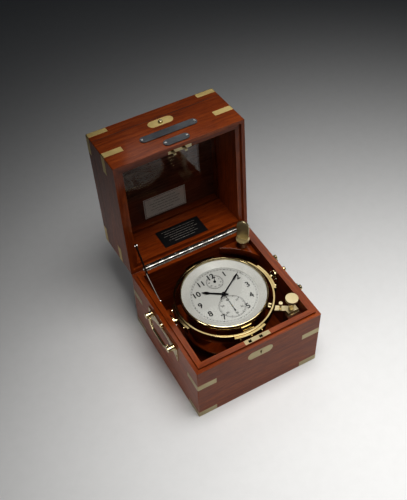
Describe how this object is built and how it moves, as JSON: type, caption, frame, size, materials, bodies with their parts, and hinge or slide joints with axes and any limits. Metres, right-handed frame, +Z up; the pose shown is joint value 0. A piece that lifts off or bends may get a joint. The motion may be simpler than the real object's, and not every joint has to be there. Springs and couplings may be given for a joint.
{
  "type": "marine chronometer",
  "caption": "Boxed marine chronometer: brass bowl with a silvered dial hung in gimbals inside a brass-bound mahogany box with a glazed middle tier and a hinged top lid.",
  "frame": {"origin": "centre of the box's underside, which is the plane it stands on", "axes": "+Z up, +X to the right seen from the front, +Y towards the hinged back"},
  "size_m": [0.212, 0.29, 0.2957],
  "materials": {
    "mahogany": "gloss french polish",
    "dark_wood": "satin",
    "strap_brass": "satin",
    "lacquered_brass": "polished",
    "movement_brass": "satin gilt",
    "steel": "polished",
    "nickel": "satin",
    "dark_steel": "polished",
    "silvered": "matte silvering",
    "black_plate": "satin",
    "glass": "polished",
    "paper": "matte"
  },
  "bodies": {
    "box": {"base_boards": "mahogany", "base_corner_straps": "strap_brass", "keyhole_escutcheon": "strap_brass", "box_lock": "lacquered_brass", "handle_plates": "strap_brass", "gimbal_bearings": "lacquered_brass", "case_screws": "steel", "key_shelf": "mahogany", "lock_block": "dark_wood", "gimbal_lock_plate": "lacquered_brass", "base_hinge": "nickel"},
    "bolt": {"lock_bolt": "steel"},
    "left_bail": {"bail_left": "strap_brass"},
    "right_bail": {"bail_right": "strap_brass"},
    "key": {"winding_key": "lacquered_brass"},
    "lock_arm": {"gimbal_lock_arm": "lacquered_brass"},
    "lock_knob": {"gimbal_lock_knob": "lacquered_brass"},
    "stay_lower": {"stay_lower_bar": "nickel"},
    "stay_upper": {"stay_upper_bar": "nickel"},
    "tier": {"tier_boards": "mahogany", "glass_pane": "glass", "tier_corner_straps": "strap_brass", "button_escutcheon": "strap_brass", "tier_plates": "black_plate", "strike_plate": "strap_brass", "tier_hinge_leaves": "nickel", "tier_screws": "steel"},
    "button": {"push_button": "strap_brass"},
    "lid": {"top_lid": "mahogany", "top_corner_straps": "strap_brass", "top_hinge_leaf": "nickel", "lid_label": "paper", "lid_catch": "steel"},
    "ring": {"gimbal_ring": "lacquered_brass", "ring_pads": "lacquered_brass", "ring_screws": "steel"},
    "bowl": {"bowl": "lacquered_brass", "bezel": "lacquered_brass", "crystal": "glass", "rehaut": "silvered", "dial": "silvered", "movement_frame": "movement_brass", "balance_cock": "movement_brass", "fusee_chain": "steel", "hairspring": "steel"},
    "shutter": {"winding_shutter": "lacquered_brass"},
    "minute": {"minute_hand": "dark_steel"},
    "minute_wheel": {"minute_wheel": "movement_brass"},
    "hour": {"hour_hand": "dark_steel"},
    "centre": {"centre_wheel": "movement_brass"},
    "third": {"third_wheel": "movement_brass"},
    "fourth": {"fourth_wheel": "movement_brass", "seconds_hand": "dark_steel"},
    "escape": {"escape_wheel": "movement_brass"},
    "great_wheel": {"great_wheel": "movement_brass"},
    "fusee": {"fusee": "movement_brass"},
    "barrel": {"barrel": "movement_brass"},
    "updown": {"updown_hand": "dark_steel"},
    "balance": {"balance": "movement_brass"},
    "detent": {"detent": "steel"}
  },
  "joints": [
    {"name": "tier_hinge", "type": "hinge", "parent": "box", "child": "tier", "pos_m": [0, 0.095, 0.1051], "axis": [1, 0, 0], "range_deg": [0, 94]},
    {"name": "top_lid_hinge", "type": "hinge", "parent": "tier", "child": "lid", "pos_m": [0, 0.16204, 0.10041], "axis": [-1, 0, 0], "range_deg": [0, 95]},
    {"name": "push_button", "type": "slide", "parent": "tier", "child": "button", "axis": [0, -0.0698, -0.9976], "range_m": [0, 0.0025], "stiffness_N_per_m": 80},
    {"name": "lock_bolt", "type": "slide", "parent": "box", "child": "bolt", "axis": [1, 0, 0], "range_m": [0, 0.0018]},
    {"name": "bail_left", "type": "hinge", "parent": "box", "child": "left_bail", "pos_m": [-0.1025, 0, 0.0885], "axis": [0, 1, 0], "range_deg": [0, 160]},
    {"name": "bail_right", "type": "hinge", "parent": "box", "child": "right_bail", "pos_m": [0.1025, 0, 0.0885], "axis": [0, -1, 0], "range_deg": [0, 160]},
    {"name": "winding_key_lift", "type": "slide", "parent": "box", "child": "key", "axis": [0, 0, -1], "range_m": [-0.06, 0]},
    {"name": "gimbal_lock_arm", "type": "hinge", "parent": "box", "child": "lock_arm", "pos_m": [0.0692, -0.0615, 0.095], "axis": [0, 0, 1], "range_deg": [0, 45]},
    {"name": "gimbal_lock_knob", "type": "hinge", "parent": "box", "child": "lock_knob", "pos_m": [0.0692, -0.0615, 0.105], "axis": [0, 0, 1], "range_deg": [0, 270]},
    {"name": "lid_stay_lower", "type": "hinge", "parent": "box", "child": "stay_lower", "pos_m": [-0.081, 0.036, 0.101], "axis": [1, 0, 0], "range_deg": [-69.89, 0]},
    {"name": "lid_stay_upper", "type": "hinge", "parent": "tier", "child": "stay_upper", "pos_m": [-0.0795, 0.10396, 0.14858], "axis": [1, 0, 0], "range_deg": [-26.75, 0]},
    {"name": "gimbal_ring_pivot", "type": "hinge", "parent": "box", "child": "ring", "pos_m": [0, 0, 0.0955], "axis": [1, 0, 0], "range_deg": [-22, 22]},
    {"name": "bowl_pivot", "type": "hinge", "parent": "ring", "child": "bowl", "pos_m": [0, 0, 0.0955], "axis": [0, 1, 0], "range_deg": [-22, 22]},
    {"name": "winding_shutter", "type": "hinge", "parent": "bowl", "child": "shutter", "pos_m": [-0.00872, 0.00754, 0.033], "axis": [0, 0, -1], "range_deg": [0, 60], "stiffness_Nm_per_rad": 0.001},
    {"name": "minute_arbor", "type": "hinge", "parent": "bowl", "child": "minute", "pos_m": [0, 0, 0.103], "axis": [0, 0, -1], "continuous": true},
    {"name": "minute_wheel_arbor", "type": "hinge", "parent": "bowl", "child": "minute_wheel", "pos_m": [0.00509, 0.00509, 0.1], "axis": [0, 0, -1], "continuous": true},
    {"name": "hour_pipe", "type": "hinge", "parent": "bowl", "child": "hour", "pos_m": [0, 0, 0.103], "axis": [0, 0, -1], "continuous": true},
    {"name": "fourth_arbor", "type": "hinge", "parent": "bowl", "child": "fourth", "pos_m": [0, -0.0224, 0.09], "axis": [0, 0, -1], "continuous": true},
    {"name": "third_arbor", "type": "hinge", "parent": "bowl", "child": "third", "pos_m": [0.01738, -0.01498, 0.09], "axis": [0, 0, -1], "continuous": true},
    {"name": "centre_arbor", "type": "hinge", "parent": "bowl", "child": "centre", "pos_m": [0, 0, 0.09], "axis": [0, 0, -1], "continuous": true},
    {"name": "escape_arbor", "type": "hinge", "parent": "bowl", "child": "escape", "pos_m": [-0.01165, -0.03365, 0.08], "axis": [0, 0, -1], "continuous": true},
    {"name": "great_wheel_spin", "type": "hinge", "parent": "bowl", "child": "great_wheel", "pos_m": [-0.02072, 0.00754, 0.085], "axis": [0, 0, -1], "continuous": true},
    {"name": "fusee_arbor", "type": "hinge", "parent": "bowl", "child": "fusee", "pos_m": [-0.02072, 0.00754, 0.08], "axis": [0, 0, -1], "range_deg": [0, 2700]},
    {"name": "barrel_arbor", "type": "hinge", "parent": "bowl", "child": "barrel", "pos_m": [0.02, 0.022, 0.08], "axis": [0, 0, -1], "range_deg": [0, 1620]},
    {"name": "updown_arbor", "type": "hinge", "parent": "bowl", "child": "updown", "pos_m": [0, 0.026, 0.1], "axis": [0, 0, -1], "range_deg": [0, 300]},
    {"name": "balance_staff", "type": "hinge", "parent": "bowl", "child": "balance", "pos_m": [-0.02, -0.0212, 0.06], "axis": [0, 0, -1], "range_deg": [-270, 270], "stiffness_Nm_per_rad": 0.00024},
    {"name": "detent_flexure", "type": "hinge", "parent": "bowl", "child": "detent", "pos_m": [0.0007, -0.02911, 0.0756], "axis": [0, 0, -1], "range_deg": [0, 1.5], "stiffness_Nm_per_rad": 0.0002}
  ],
  "couplings": [
    {"joint": "lid_stay_lower", "follows": "tier_hinge", "ratio": -0.74338},
    {"joint": "lid_stay_upper", "follows": "tier_hinge", "ratio": -0.28448},
    {"joint": "minute_wheel_arbor", "follows": "minute_arbor", "ratio": -0.33333},
    {"joint": "hour_pipe", "follows": "minute_arbor", "ratio": 0.083333},
    {"joint": "third_arbor", "follows": "fourth_arbor", "ratio": -0.125},
    {"joint": "centre_arbor", "follows": "fourth_arbor", "ratio": 0.016667},
    {"joint": "escape_arbor", "follows": "fourth_arbor", "ratio": -8},
    {"joint": "great_wheel_spin", "follows": "fourth_arbor", "ratio": -0.0027778},
    {"joint": "barrel_arbor", "follows": "fusee_arbor", "ratio": 0.6},
    {"joint": "updown_arbor", "follows": "fusee_arbor", "ratio": 0.11111}
  ]
}
